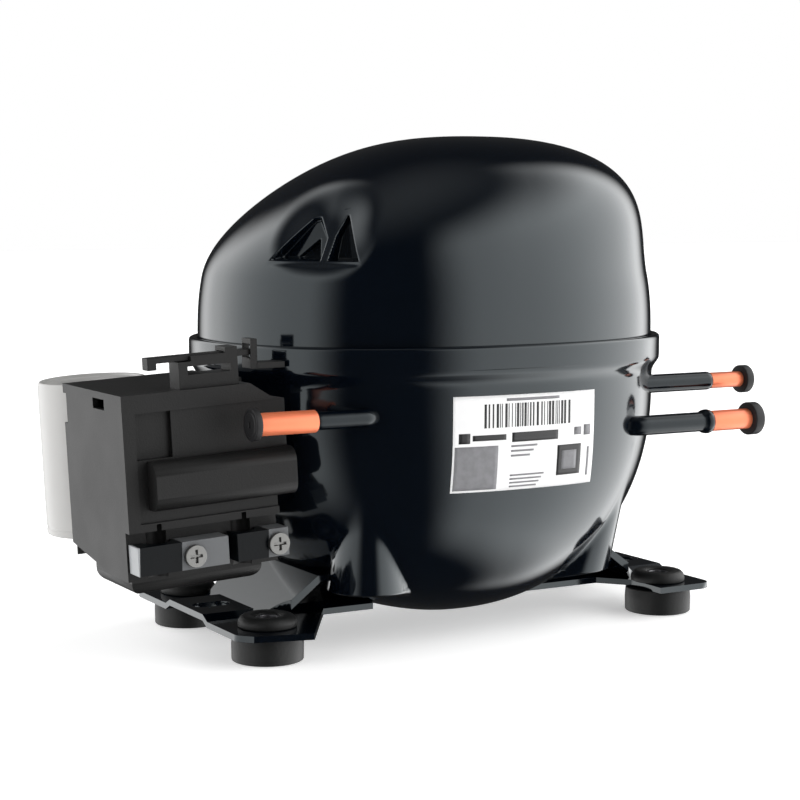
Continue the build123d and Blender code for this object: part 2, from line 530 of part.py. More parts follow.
valve_plate = valve_plate - rod_x(1.8, 48, 55, -6.5, CYLINDER_Z + 5.5) - through_passage
pieces["valve_plate"] = valve_plate
pieces["head_gasket"] = face_plate(*TOP_GASKET) - chambers(50, 60)
head = face_plate(*HEAD) - chambers(52, 63.5) - rod_y(5.0, 14, 25, 58.3, CYLINDER_Z)
head = head - rod_y(PASSAGE_R, PASSAGE_Y, -14, 58.3, CYLINDER_Z)
pieces["cylinder_head"] = head
pieces["discharge_reed"] = block(VALVE[1], VALVE[1] + 0.4, -8.6, -4.6, CYLINDER_Z - 9, CYLINDER_Z + 8.6)
stop_bar = block(VALVE[1] + 1.9, VALVE[1] + 2.9, -8.6, -4.6, CYLINDER_Z - 11.6, CYLINDER_Z + 8.6)
stop_foot = block(VALVE[1], VALVE[1] + 2.9, -8.6, -4.6, CYLINDER_Z - 11.8, CYLINDER_Z - 9.4)
pieces["discharge_valve_stop"] = stop_bar + stop_foot
head_bolts = []
for bolt_y, bolt_z in HEAD_BOLTS:
    bolt_head = rod_x(3.8, HEAD[1], HEAD[1] + 3.6, bolt_y, bolt_z)
    head_bolts.append(bolt_head + rod_x(2.0, 36, HEAD[1] + 1, bolt_y, bolt_z))
pieces["head_bolts"] = solids_of(*head_bolts)

# ---------------------------------------------------------------- mufflers and internal discharge tube
muffler = fillet(block(12, 46, 30, 48, 112, 144).edges(), 4)
muffler = muffler - fillet(block(13.5, 44.5, 31.5, 46.5, 113.5, 142.5).edges(), 3)
SPOUT_X, SPOUT_Y = 58.3, 36.0
spout = rod_y(4.9, 15.5, SPOUT_Y, SPOUT_X, CYLINDER_Z) + rod_x(4.9, 45.2, SPOUT_X, SPOUT_Y, CYLINDER_Z)
spout = spout + Pos(SPOUT_X, SPOUT_Y, CYLINDER_Z) * Sphere(4.9)
spout_bore = rod_y(3.6, 14, SPOUT_Y, SPOUT_X, CYLINDER_Z) + rod_x(3.6, 43, SPOUT_X, SPOUT_Y, CYLINDER_Z)
spout_bore = spout_bore + Pos(SPOUT_X, SPOUT_Y, CYLINDER_Z) * Sphere(3.6)
pieces["suction_muffler"] = muffler + spout - spout_bore - rod_y(3.0, 45, 50, 24, 120)
chamber = disc(10.5, PLATE_HIGH, 120, -30, -29) - disc(9.3, PLATE_HIGH - 1, 118.8, -30, -29)
chamber = chamber - disc(2.0, 110, 125, -30, -29) - rib
pieces["discharge_muffler"] = chamber
loop_path = [(-30, -29, 119 + HANG), (-30, -29, 135), (-22, -47, 135), (-22, -47, 91), (-25.1, -33.9, 86),
             (-48.2, -51.4, 86)]
pieces["internal_discharge_tube"] = tube_along(loop_path, 1.9, 4, 1.3)

# ---------------------------------------------------------------- motor leads inside the shell
plug = block(-77, -68, TERMINAL_Y - 9, TERMINAL_Y + 9, TERMINAL_Z - 7, TERMINAL_Z + 10)
plug = fillet(plug.edges().filter_by(Axis.X), 2)
for pin_y, pin_z in pins_at:
    plug = plug - rod_x(1.2, -79, -73, pin_y, pin_z)
pieces["internal_plug"] = plug
leads = []
for offset in (-5, 0, 5):
    y = TERMINAL_Y + offset
    end_x = -math.sqrt(38.5 ** 2 - y ** 2) - 0.6
    leads.append(tube_along([(-68, y, 70), (-60, y, 70), (-57, y, 90), (end_x, y, 90)], 0.9, 3))
pieces["motor_leads"] = solids_of(*leads)

# the pump is drawn in place and then hung on its springs
HUNG = ["spring_upper_stops", "stator_bolts", "stator_core", "stator_winding", "rotor_core", "rotor_end_rings",
        "rotor_counterweight", "cylinder_block", "crankshaft", "thrust_washer", "oil_pickup_tube",
        "crank_pin_oil_plug", "slide_block", "piston_and_yoke", "cylinder_gasket", "suction_reed_frame",
        "suction_reed", "valve_plate", "head_gasket", "cylinder_head", "discharge_reed",
        "discharge_valve_stop", "head_bolts", "suction_muffler", "discharge_muffler"]
for name in HUNG:
    pieces[name] = Pos(0, 0, HANG) * pieces[name]

os.makedirs("parts", exist_ok=True)
for name, shape in pieces.items():
    export_step(Compound(shape.solids()), "parts/" + name + ".step")
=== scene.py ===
import json
import math

import bpy
import numpy as np
from mathutils import Euler, Matrix, Vector


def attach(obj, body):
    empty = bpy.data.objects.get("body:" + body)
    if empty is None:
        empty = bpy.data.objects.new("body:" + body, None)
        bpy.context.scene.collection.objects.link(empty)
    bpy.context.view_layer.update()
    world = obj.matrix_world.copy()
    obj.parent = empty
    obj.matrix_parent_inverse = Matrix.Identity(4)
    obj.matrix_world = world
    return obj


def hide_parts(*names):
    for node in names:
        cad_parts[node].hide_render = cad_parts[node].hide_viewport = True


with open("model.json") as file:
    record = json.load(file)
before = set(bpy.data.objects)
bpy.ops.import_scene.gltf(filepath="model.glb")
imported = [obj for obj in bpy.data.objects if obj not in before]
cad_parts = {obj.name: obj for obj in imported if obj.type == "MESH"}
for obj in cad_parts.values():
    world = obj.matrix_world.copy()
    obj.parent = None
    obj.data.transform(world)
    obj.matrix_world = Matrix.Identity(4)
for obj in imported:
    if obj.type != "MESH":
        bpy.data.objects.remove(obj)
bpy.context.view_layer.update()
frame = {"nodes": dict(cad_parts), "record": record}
MM = 0.001

# -------------------- the shell's dimensions in mm, as in the CAD model
SHELL_A, SHELL_B = 88.5, 70.0           # half the length and half the width of its oval
OVAL_POWER = 2.3
DOME_POWER = 2.5
BOWL_POWER_X, BOWL_POWER_Y = 2.08, 2.66
BOWL_BOTTOM, BOWL_SHOULDER = 5.5, 89.7
RIM_STEP, RIM_TOP, RIM_FLARE = 101.5, 110.0, 2.7
DOME_TOP, DOME_SHIFT = 185.0, 18.5      # the height of the dome's top, and how far it leans to the right
DOME_COLUMNS, DOME_ROWS = 400, 170
DENSE_ROUND, DENSE_UP = (0.32, 3.5), (0.19, 3.0)    # how far and how much its mesh is denser round the dents
HAIR = 1e-6                             # keeps every point of its mesh off the oval's axes
SHEET = 3.0
LEG_FOOT = (44.0, 33.0, 20.0, 15.0)     # x, y, z and radius of a spring leg's lower end
LEG_TIP = (53.0, 50.0, 70.0, 7.0)
LEG_BLEND = 1.1                         # how softly a leg runs into the bowl

# -------------------- the pressed stop on the dome
DENT_AT = np.array([-67.5, -41.0, 139.3])       # the middle of the ledge under the two dents
DENT_TURN = math.radians(-48.6)
DENT_DEPTH, DENT_LEAN = 7.8, 0.6        # how deep the dents' floors lie at the ledge, and how they lean back
DISH_HALF_WIDTH, DISH_HALF_HEIGHT = 21.0, 18.5
DISH_DEPTH, DISH_MIDDLE, DISH_POWER = 5.6, 11.0, 2.6        # its middle is this far above the ledge
GROOVE_DEPTH, GROOVE_DROP, GROOVE_WIDTH = 0.2, 0.9, 0.7     # the fine line under the ledge
NEAR_SIDE = 30.0                        # only points this close to the stop are pressed
# each dent's outline (across, up), its soft edge, how its floor slopes across, and where that starts
DENTS = (
    ([(-19, 0), (0.6, 0), (0.3, 8), (-4.5, 15.5), (-7.5, 15)], 1.4, 0.0, -19),
    ([(-11.5, 0.6), (-2.4, 0.6), (-3.9, 7.8)], 0.8, 0.42, -13.5),
    ([(3.0, 0), (14.9, 0), (6.2, 16), (5.4, 16), (3.0, 8.5)], 0.8, 0.42, 3.0),
)

# -------------------- where the electrical cover's own frame stands
BOX_AT = Vector((-112.0, 0.0, 66.0))
BOX_TILT = math.radians(-3.0)
box_frame = Matrix.Translation(BOX_AT * MM) @ Euler((0, BOX_TILT, 0)).to_matrix().to_4x4()

# -------------------- materials
GRAIN_HEIGHT, BAND_HEIGHT = 0.0002, 0.0003


def links_of(tree):
    """A short way to link one node's output to another node's input."""
    def link(source, output, target, into):
        tree.links.new(source.outputs[output], target.inputs[into])
    return link


def surface(name, base, rough, metal=0.0, spread=0.12, mottle=60.0, grain=0.0, grain_size=900.0,
            spec=0.5, tint=(1, 1, 1), rough_spread=0.06, stretch=(1, 1, 1)):
    """A procedural material: its colour and roughness drift, and a fine grain stands up from it."""
    material = bpy.data.materials.new(name)
    material.use_nodes = True
    tree = material.node_tree
    link = links_of(tree)
    shader = tree.nodes["Principled BSDF"]
    shader.inputs["Metallic"].default_value = metal
    shader.inputs["Specular IOR Level"].default_value = spec
    shader.inputs["Specular Tint"].default_value = (*tint, 1)
    where = tree.nodes.new("ShaderNodeTexCoord")
    scaled = tree.nodes.new("ShaderNodeMapping")
    scaled.inputs["Scale"].default_value = stretch
    link(where, "Object", scaled, "Vector")
    drift = tree.nodes.new("ShaderNodeTexNoise")
    drift.inputs["Scale"].default_value = mottle
    drift.inputs["Detail"].default_value = 4.0
    link(scaled, "Vector", drift, "Vector")
    ramp = tree.nodes.new("ShaderNodeValToRGB")
    low = [c * (1 - spread) for c in base]
    high = [min(1.0, c * (1 + spread)) for c in base]
    ramp.color_ramp.elements[0].position = 0.3
    ramp.color_ramp.elements[0].color = (*low, 1)
    ramp.color_ramp.elements[1].position = 0.7
    ramp.color_ramp.elements[1].color = (*high, 1)
    link(drift, "Fac", ramp, "Fac")
    link(ramp, "Color", shader, "Base Color")
    uneven = tree.nodes.new("ShaderNodeMapRange")
    uneven.inputs["To Min"].default_value = max(0.02, rough - rough_spread)
    uneven.inputs["To Max"].default_value = rough + rough_spread
    link(drift, "Fac", uneven, "Value")
    link(uneven, "Result", shader, "Roughness")
    if grain:
        fine = tree.nodes.new("ShaderNodeTexNoise")
        fine.inputs["Scale"].default_value = grain_size
        fine.inputs["Detail"].default_value = 3.0
        link(scaled, "Vector", fine, "Vector")
        bump = tree.nodes.new("ShaderNodeBump")
        bump.inputs["Strength"].default_value = grain
        bump.inputs["Distance"].default_value = GRAIN_HEIGHT
        link(fine, "Fac", bump, "Height")
        link(bump, "Normal", shader, "Normal")
    return material


def bands(material, size, amount, axis):
    """Adds fine ridges across one axis, as on laminations, windings and turned metal."""
    tree = material.node_tree
    link = links_of(tree)
    shader = tree.nodes["Principled BSDF"]
    where = tree.nodes.new("ShaderNodeTexCoord")
    wave = tree.nodes.new("ShaderNodeTexWave")
    wave.bands_direction = axis
    wave.inputs["Scale"].default_value = size
    wave.inputs["Distortion"].default_value = 0.3
    link(where, "Object", wave, "Vector")
    bump = tree.nodes.new("ShaderNodeBump")
    bump.inputs["Strength"].default_value = amount
    bump.inputs["Distance"].default_value = BAND_HEIGHT
    link(wave, "Fac", bump, "Height")
    link(bump, "Normal", shader, "Normal")
    return material


def striped(name, start, end, stripes, rough, spec):
    """A plated strap whose colour changes along X, partly its two-tone finish and partly a painted highlight:
    stripes is a list of (x where it starts, colour).
    """
    material = surface(name, (0.2, 0.2, 0.2), rough, spec=spec, grain=0.15)
    tree = material.node_tree
    link = links_of(tree)
    where = tree.nodes.new("ShaderNodeTexCoord")
    split = tree.nodes.new("ShaderNodeSeparateXYZ")
    link(where, "Object", split, "Vector")
    spot = tree.nodes.new("ShaderNodeMapRange")
    spot.inputs["From Min"].default_value = start
    spot.inputs["From Max"].default_value = end
    link(split, "X", spot, "Value")
    ramp = tree.nodes.new("ShaderNodeValToRGB")
    ramp.color_ramp.interpolation = "CONSTANT"
    stops = ramp.color_ramp.elements
    for i, (x, colour) in enumerate(stripes):
        place = (x - start) / (end - start)
        stop = stops[i] if i < 2 else stops.new(place)
        stop.position = place
        stop.color = (*colour, 1)
    link(spot, "Result", ramp, "Fac")
    link(ramp, "Color", tree.nodes["Principled BSDF"], "Base Color")
    return material


BLACK = (0.0012, 0.0024, 0.0048)
COOL = (0.88, 0.97, 1.0)
# the first stripe is a painted highlight: where the straps turn round the cover's left end face, their steel
# is coloured lighter, as if lit
STRIPE_PAINTED_HIGHLIGHT, STRIPE_DARK, STRIPE_STEEL = (0.3, 0.31, 0.32), (0.002, 0.003, 0.004), (0.13, 0.135, 0.14)
STRAP_START, STRAP_END = -0.142, -0.082
STRAP_STRIPES = [(STRAP_START, STRIPE_PAINTED_HIGHLIGHT), (-0.1383, STRIPE_DARK), (-0.1234, STRIPE_STEEL),
                 (-0.1050, STRIPE_DARK), (-0.0915, STRIPE_STEEL)]
materials = {
    "black_paint": surface("black_paint", BLACK, 0.10, mottle=25, grain=0.05, grain_size=260, tint=COOL,
                           rough_spread=0.02),
    "painted_tube": surface("painted_tube", BLACK, 0.16, mottle=60, grain=0.12, grain_size=420, spec=0.3,
                            tint=COOL),
    "copper": surface("copper", (0.86, 0.22, 0.10), 0.34, metal=0.35, spread=0.08, mottle=180, grain=0.15,
                      grain_size=700, stretch=(0.25, 1, 1)),
    "cap_rubber": surface("cap_rubber", (0.014, 0.014, 0.015), 0.5, spec=0.3, grain=0.3, grain_size=1500),
    "foot_rubber": surface("foot_rubber", (0.009, 0.0095, 0.0095), 0.55, spec=0.3, grain=0.35,
                           grain_size=1100),
    "box_plastic": surface("box_plastic", (0.010, 0.010, 0.010), 0.5, spread=0.06, spec=0.22, grain=0.3,
                           grain_size=1700),
    "relay_plastic": surface("relay_plastic", (0.05, 0.05, 0.055), 0.45, grain=0.3, grain_size=1500),
    "protector_phenolic": surface("protector_phenolic", (0.035, 0.02, 0.016), 0.35, grain=0.3,
                                  grain_size=1200),
    "capacitor_case": surface("capacitor_case", (0.46, 0.455, 0.445), 0.38, spread=0.02, mottle=30,
                              grain=0.08),
    "label_film": surface("label_film", (0.83, 0.83, 0.83), 0.45, spread=0.02, mottle=200, grain=0.1),
    "strap_steel": striped("strap_steel", STRAP_START, STRAP_END, STRAP_STRIPES, 0.3, 0.12),
    "zinc_steel": surface("zinc_steel", (0.55, 0.55, 0.53), 0.28, metal=0.9, grain=0.25, grain_size=800),
    "spring_steel": surface("spring_steel", (0.3, 0.3, 0.31), 0.3, metal=1.0, grain=0.3, mottle=250),
    "bolt_steel": surface("bolt_steel", (0.16, 0.16, 0.17), 0.4, metal=0.9, grain=0.3, mottle=200),
    "glass_bead": surface("glass_bead", (0.09, 0.2, 0.17), 0.12, spread=0.25, mottle=700),
    "tin_brass": surface("tin_brass", (0.62, 0.58, 0.46), 0.3, metal=0.9, grain=0.2),
    "nylon": surface("nylon", (0.62, 0.58, 0.48), 0.42, spread=0.05, grain=0.2),
    "muffler_plastic": surface("muffler_plastic", (0.6, 0.57, 0.46), 0.4, spread=0.06, grain=0.3),
    "lamination_steel": bands(surface("lamination_steel", (0.2, 0.2, 0.22), 0.45, metal=0.8, mottle=120),
                              1000, 0.5, "Z"),
    "winding_copper": bands(surface("winding_copper", (0.5, 0.17, 0.06), 0.3, metal=0.7, mottle=220),
                            420, 0.8, "DIAGONAL"),
    "cast_aluminium": surface("cast_aluminium", (0.55, 0.56, 0.57), 0.42, metal=0.9, mottle=90, grain=0.5,
                              grain_size=500),
    "cast_iron": surface("cast_iron", (0.13, 0.13, 0.135), 0.6, metal=0.7, mottle=110, spread=0.3, grain=0.8,
                         grain_size=450),
    "ground_steel": bands(surface("ground_steel", (0.55, 0.55, 0.55), 0.2, metal=1.0, mottle=150),
                          900, 0.15, "Z"),
    "gasket_fibre": surface("gasket_fibre", (0.16, 0.19, 0.15), 0.8, mottle=500, spread=0.3, grain=0.5),
    "lead_insulation": surface("lead_insulation", (0.66, 0.6, 0.45), 0.5, mottle=300, grain=0.3),
    "steel_pressing": surface("steel_pressing", (0.4, 0.4, 0.41), 0.35, metal=0.9, mottle=130, grain=0.3),
    "print_ink": surface("print_ink", (0.012, 0.012, 0.013), 0.5, mottle=400, spread=0.3),
    "print_grey": surface("print_grey", (0.19, 0.19, 0.2), 0.5, mottle=400),
    "screw_steel": surface("screw_steel", (0.17, 0.17, 0.165), 0.36, metal=0.9, grain=0.25, grain_size=800),
}

record = frame["record"]
slot_of = {s["node"]: s["material_slot"] for s in record["subparts"]}
body_of_node = {n: b for b, names in record["behaviour"]["bodies"].items() for n in names}


# -------------------- mesh helpers, with points in mm
def piece(name, points, faces, replaced, slot=None, body=None, smooth=True, material=None, place=None):
    """Makes a mesh piece that stands for a CAD node, rides on its body and takes its finish."""
    mesh = bpy.data.meshes.new(name)
    mesh.from_pydata([tuple(p) for p in np.asarray(points, float) * MM], [], [tuple(f) for f in faces])
    if smooth:
        mesh.shade_smooth()
    mesh.validate()
    obj = bpy.data.objects.new(name, mesh)
    bpy.context.scene.collection.objects.link(obj)
    if place is not None:
        mesh.transform(place)
    slot = slot or slot_of[replaced]
    mesh.materials.append(material or materials[slot])
    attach(obj, body or body_of_node[replaced])
    if replaced:
        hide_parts(replaced)
    return obj


def grid_faces(rows, columns, closed_rows=False):
    """The faces of a grid of points, each row closed and, if asked, the last row joined to the first."""
    faces = []
    last = rows if closed_rows else rows - 1
    for i in range(last):
        j = (i + 1) % rows
        for k in range(columns):
            k2 = (k + 1) % columns
            faces.append((i * columns + k, i * columns + k2, j * columns + k2, j * columns + k))
    return faces


def merged(parts):
    """One mesh from several, each given by its points and faces."""
    points, faces = [], []
    for part_points, part_faces in parts:
        start = len(points)
        points.extend(part_points)
        faces.extend(tuple(i + start for i in f) for f in part_faces)
    return points, faces


def revolve(profile, origin, axis, segments=64):
    """A closed ring of revolution: profile is a closed loop of (radius, distance along the axis)."""
    axis = np.array(axis, float)
    side = np.array([0.0, 0.0, 1.0]) if abs(axis[2]) < 0.9 else np.array([1.0, 0.0, 0.0])
    other = np.cross(axis, side)
    angles = np.linspace(0, 2 * math.pi, segments, endpoint=False)
    points = []
    for r, h in profile:
        for angle in angles:
            outward = side * math.cos(angle) + other * math.sin(angle)
            points.append(np.array(origin) + axis * h + r * outward)
    return points, grid_faces(len(profile), segments, closed_rows=True)


def rounded(profile, radius, steps=4):
    """The closed loop with its corners rounded. An entry (r, h, c) has its own corner radius c."""
    out = []
    count = len(profile)
    for i in range(count):
        here = np.array(profile[i][:2], float)
        before = np.array(profile[i - 1][:2], float)
        after = np.array(profile[(i + 1) % count][:2], float)
        own = profile[i][2] if len(profile[i]) > 2 else radius
        a, b = before - here, after - here
        own = min(own, 0.45 * np.linalg.norm(a), 0.45 * np.linalg.norm(b))
        if own < 0.02:
            out.append(tuple(here))
            continue
        p, q = here + a / np.linalg.norm(a) * own, here + b / np.linalg.norm(b) * own
        for s in np.linspace(0, 1, steps + 1):
            out.append(tuple((1 - s) ** 2 * p + 2 * s * (1 - s) * here + s * s * q))
    return out


def filleted_path(points, bend, steps=8):
    """The path with its corners turned into arcs, or the path itself where the bend is 0."""
    corners = [np.array(p, float) for p in points]
    if not bend:
        return corners
    out = [corners[0]]
    for before, here, after in zip(corners, corners[1:], corners[2:]):
        a = (before - here) / np.linalg.norm(before - here)
        b = (after - here) / np.linalg.norm(after - here)
        half = math.acos(max(-1, min(1, float(a @ b)))) / 2
        reach = bend / math.tan(half)
        centre = here + (a + b) / np.linalg.norm(a + b) * bend / math.sin(half)
        start, end = here + a * reach - centre, here + b * reach - centre
        sweep = math.acos(max(-1, min(1, float(start @ end) / bend ** 2)))
        for s in np.linspace(0, 1, steps + 1):
            spoke = math.sin((1 - s) * sweep) * start + math.sin(s * sweep) * end
            out.append(centre + spoke / math.sin(sweep))
    out.append(corners[-1])
    return out


def even_steps(corners, step=1.0):
    """The path from corner to corner in equal steps of about the given length."""
    out = []
    for a, b in zip(corners, corners[1:]):
        count = max(1, int(np.linalg.norm(b - a) / step))
        out += [a + (b - a) * i / count for i in range(count)]
    return out + [corners[-1]]


def swept_tube(path, outside, bore, segments=40):
    """A hollow tube along a path. outside is a radius for each point of the path, bore is one radius."""
    count = len(path)
    tangents = [path[min(i + 1, count - 1)] - path[max(i - 1, 0)] for i in range(count)]
    rings = []
    for radii, order in ((outside, range(count)), ([bore] * count, reversed(range(count)))):
        for i in order:
            t = tangents[i] / np.linalg.norm(tangents[i])
            u = np.cross(t, [0, 0, 1])
            u = u / np.linalg.norm(u)
            w = np.cross(t, u)
            for angle in np.linspace(0, 2 * math.pi, segments, endpoint=False):
                rings.append(path[i] + radii[i] * (u * math.cos(angle) + w * math.sin(angle)))
    return rings, grid_faces(2 * count, segments, closed_rows=True)


def softened(obj, width):
    """Rounds the edges of a piece or a CAD node with modifiers, which leave its mesh as it is."""
    weld = obj.modifiers.new("weld", "WELD")
    weld.merge_threshold = 0.00002
    flat = obj.modifiers.new("flat", "DECIMATE")
    flat.decimate_type = "DISSOLVE"
    flat.angle_limit = math.radians(0.4)
    bevel = obj.modifiers.new("bevel", "BEVEL")
    bevel.width = width * MM
    bevel.segments = 2
    bevel.limit_method = "ANGLE"
    bevel.angle_limit = math.radians(32.0)
    bevel.use_clamp_overlap = True
    bevel.harden_normals = True
    return obj


def thickened(obj, thickness):
    """Gives a surface its thickness, inwards."""
    solid = obj.modifiers.new("sheet", "SOLIDIFY")
    solid.thickness = thickness * MM
    solid.offset = -1
    return obj


# -------------------- shell surfaces
def narrowing(t, power):
    """How much of its width a rounded end still has at the part t of its depth."""
    return (1 - np.clip(t, 0, 1) ** power) ** (1 / power)


def eased(x, low, high):
    """0 up to low, 1 from high on, with a soft start and end between them."""
    s = np.clip((x - low) / (high - low), 0, 1)
    return s * s * (3 - 2 * s)


def spaced(low, high, count, dense, width, boost):
    """Values from low to high that lie closer together around the value dense."""
    fine = np.linspace(low, high, 4000)
    density = 1 + boost * np.exp(-((fine - dense) / width) ** 4)
    run = np.concatenate([[0], np.cumsum((density[1:] + density[:-1]) / 2)])
    return np.interp(np.linspace(0, run[-1], count), run, fine)


def oval_points(a, b, angles):
    """Points round an oval with the half axes a and b."""
    c, s = np.cos(angles), np.sin(angles)
    x = a * np.sign(c) * np.abs(c) ** (2 / OVAL_POWER)
    y = b * np.sign(s) * np.abs(s) ** (2 / OVAL_POWER)
    return x, y


def inside_outline(x, z, corners, soft):
    """1 inside the convex outline, falling to 0 over the soft distance at its edges."""
    depth = np.full(x.shape, 1e9)
    for (x0, z0), (x1, z1) in zip(corners, corners[1:] + corners[:1]):
        length = math.hypot(x1 - x0, z1 - z0)
        depth = np.minimum(depth, ((x1 - x0) * (z - z0) - (z1 - z0) * (x - x0)) / length)
    return eased(depth, 0, soft)


def pressed(points):
    """Presses a soft dish into the dome, and in it two triangular dents over a ledge, parted by a rib."""
    along = np.array([math.cos(DENT_TURN), math.sin(DENT_TURN), 0])
    inward = np.array([-math.sin(DENT_TURN), math.cos(DENT_TURN), 0])
    offset = points - DENT_AT
    x, y, z = offset @ along, offset @ inward, offset[:, 2]
    near = y < NEAR_SIDE
    across = np.abs(x / DISH_HALF_WIDTH) ** DISH_POWER
    upwards = np.abs((z - DISH_MIDDLE) / DISH_HALF_HEIGHT) ** DISH_POWER
    from_centre = (across + upwards) ** (1 / DISH_POWER)
    y = y + DISH_DEPTH * (1 - eased(from_centre, 0.1, 1.0)) * near
    groove = np.exp(-((z + GROOVE_DROP) / GROOVE_WIDTH) ** 2)
    groove = groove * eased(x, -20, -17) * (1 - eased(x, 13.5, 16))
    y = y + GROOVE_DEPTH * groove * near
    back = DENT_DEPTH + DENT_LEAN * z
    for corners, soft, slope, start in DENTS:
        floor_depth = back + slope * (x - start)
        within = inside_outline(x, z, corners, soft)
        y = np.where(near & (floor_depth > y), y + (floor_depth - y) * within, y)
    moved = DENT_AT + np.outer(x, along) + np.outer(y, inward)
    moved[:, 2] = points[:, 2]
    return moved


def make_dome():
    """The upper shell's outside, in rings from behind the rim to the top, denser round the dents."""
    dent_x, dent_y, ledge = DENT_AT
    turn = OVAL_POWER / 2
    dent_angle = math.atan2(-(-dent_y / SHELL_B) ** turn, -(-dent_x / SHELL_A) ** turn)
    angles = spaced(-math.pi + HAIR, math.pi + HAIR, DOME_COLUMNS + 1, dent_angle, *DENSE_ROUND)[:-1]
    tall = DOME_TOP - RIM_TOP
    heights = spaced(0.0, 1.0, DOME_ROWS, (ledge + 9 - RIM_TOP) / tall, *DENSE_UP)
    at_ledge = [(ledge - RIM_TOP + extra) / tall for extra in (-0.05, 0.12, 0.3)]
    heights = np.sort(np.append(heights, at_ledge))
    cap_from = 0.985
    cap = np.sin(np.linspace(math.asin(cap_from), math.pi / 2, 26))
    heights = np.concatenate([heights[heights < cap_from], cap[:-1]])
    points = []
    a, b = SHELL_A - 0.5, SHELL_B - 0.5
    for z in (RIM_STEP, RIM_STEP + 4, RIM_TOP - 1):
        x, y = oval_points(a, b, angles)
        points.append(np.stack([x, y, np.full_like(x, z)], 1))
    for t in heights:
        lean = DOME_SHIFT * eased(t, 0.3, 1.0)
        scale = narrowing(t, DOME_POWER)
        x, y = oval_points(a * scale, b * scale, angles)
        points.append(np.stack([x + lean, y, np.full_like(x, RIM_TOP + tall * t)], 1))
    rows, columns = len(points), len(angles)
    points = pressed(np.concatenate(points))
    faces = grid_faces(rows, columns)
    top = len(points)
    points = np.vstack([points, [[DOME_SHIFT, 0, DOME_TOP]]])
    last = (rows - 1) * columns
    faces += [(last + k, last + (k + 1) % columns, top) for k in range(columns)]
    return points, faces


def bowl_radius(directions, z, grow=0.0):
    """Distance from the Z axis to the bowl's surface, without legs, along each direction."""
    t = np.clip((BOWL_SHOULDER - z) / (BOWL_SHOULDER - BOWL_BOTTOM), 0, 1)
    a = SHELL_A * narrowing(t, BOWL_POWER_X) + grow
    b = SHELL_B * narrowing(t, BOWL_POWER_Y) + grow
    c, s = np.abs(np.cos(directions)), np.abs(np.sin(directions))
    return ((c / max(a, 1e-6)) ** OVAL_POWER + (s / max(b, 1e-6)) ** OVAL_POWER) ** (-1 / OVAL_POWER)


def leg_radius(directions, z):
    """Distance from the Z axis to the far side of the leg that a direction passes through, or 0."""
    k = min(1.0, (z - LEG_FOOT[2]) / (LEG_TIP[2] - LEG_FOOT[2]))
    if k > 0.999:
        return np.zeros_like(directions)
    k = max(k, 0.0)
    x, y, radius = (LEG_FOOT[i] + k * (LEG_TIP[i] - LEG_FOOT[i]) for i in (0, 1, 3))
    c, s = np.abs(np.cos(directions)), np.abs(np.sin(directions))
    along = x * c + y * s
    off = x * s - y * c
    return np.where(np.abs(off) < radius, along + np.sqrt(np.maximum(radius ** 2 - off ** 2, 0)), 0)


def make_bowl():
    """The lower shell's outside, in rings from inside its belled rim down to the bottom."""
    directions = np.linspace(-math.pi, math.pi, 480, endpoint=False)
    # height of each ring of the rim, and how far it stands out from the bowl's shoulder
    rim = [(RIM_STEP + 0.3, -0.3), (RIM_TOP - 1.5, -0.3), (RIM_TOP - 0.5, -0.1), (RIM_TOP - 0.1, 0.5),
           (RIM_TOP, 1.2), (RIM_TOP - 0.1, 1.9), (RIM_TOP - 0.5, 2.5), (RIM_TOP - 1.2, RIM_FLARE),
           (RIM_TOP - 4, RIM_FLARE), (RIM_STEP + 0.6, RIM_FLARE), (RIM_STEP - 0.6, 2.6),
           (RIM_STEP - 1.6, 2.1), (RIM_STEP - 2.8, 1.3), (RIM_STEP - 4.0, 0.6),
           (RIM_STEP - 5.2, 0.15), (RIM_STEP - 6.4, 0.0), (RIM_STEP - 9, 0.0)]
    rows = [(z, bowl_radius(directions, BOWL_SHOULDER, grow)) for z, grow in rim]
    deep = BOWL_SHOULDER - BOWL_BOTTOM
    depth = np.sin(np.linspace(0, math.pi / 2, 120))
    at_feet = (BOWL_SHOULDER - np.arange(LEG_FOOT[2] - 3.2, LEG_FOOT[2] + 2.5, 0.3)) / deep
    for t in np.sort(np.concatenate([depth[:-1], at_feet])):
        z = BOWL_SHOULDER - deep * t
        shell = bowl_radius(directions, z)
        leg = leg_radius(directions, z)
        foot = eased(z, LEG_FOOT[2] - 2.6, LEG_FOOT[2] + 1.2)
        gap = np.clip(0.5 + 0.5 * (leg - shell) / LEG_BLEND, 0, 1)
        joined = shell + (leg - shell) * gap + LEG_BLEND * gap * (1 - gap)
        rows.append((z, shell + (np.where(leg > 0, joined, shell) - shell) * foot))
    c, s = np.cos(directions), np.sin(directions)
    points = [np.stack([r * c, r * s, np.full_like(r, z)], 1) for z, r in rows]
    count, columns = len(points), len(directions)
    faces = [tuple(reversed(f)) for f in grid_faces(count, columns)]
    last, bottom = (count - 1) * columns, count * columns
    faces += [(last + (k + 1) % columns, last + k, bottom) for k in range(columns)]
    return np.vstack([np.concatenate(points), [[0, 0, BOWL_BOTTOM]]]), faces


thickened(piece("shell_top", *make_dome(), "upper_shell"), SHEET)
thickened(piece("shell_bottom", *make_bowl(), "lower_shell"), SHEET)


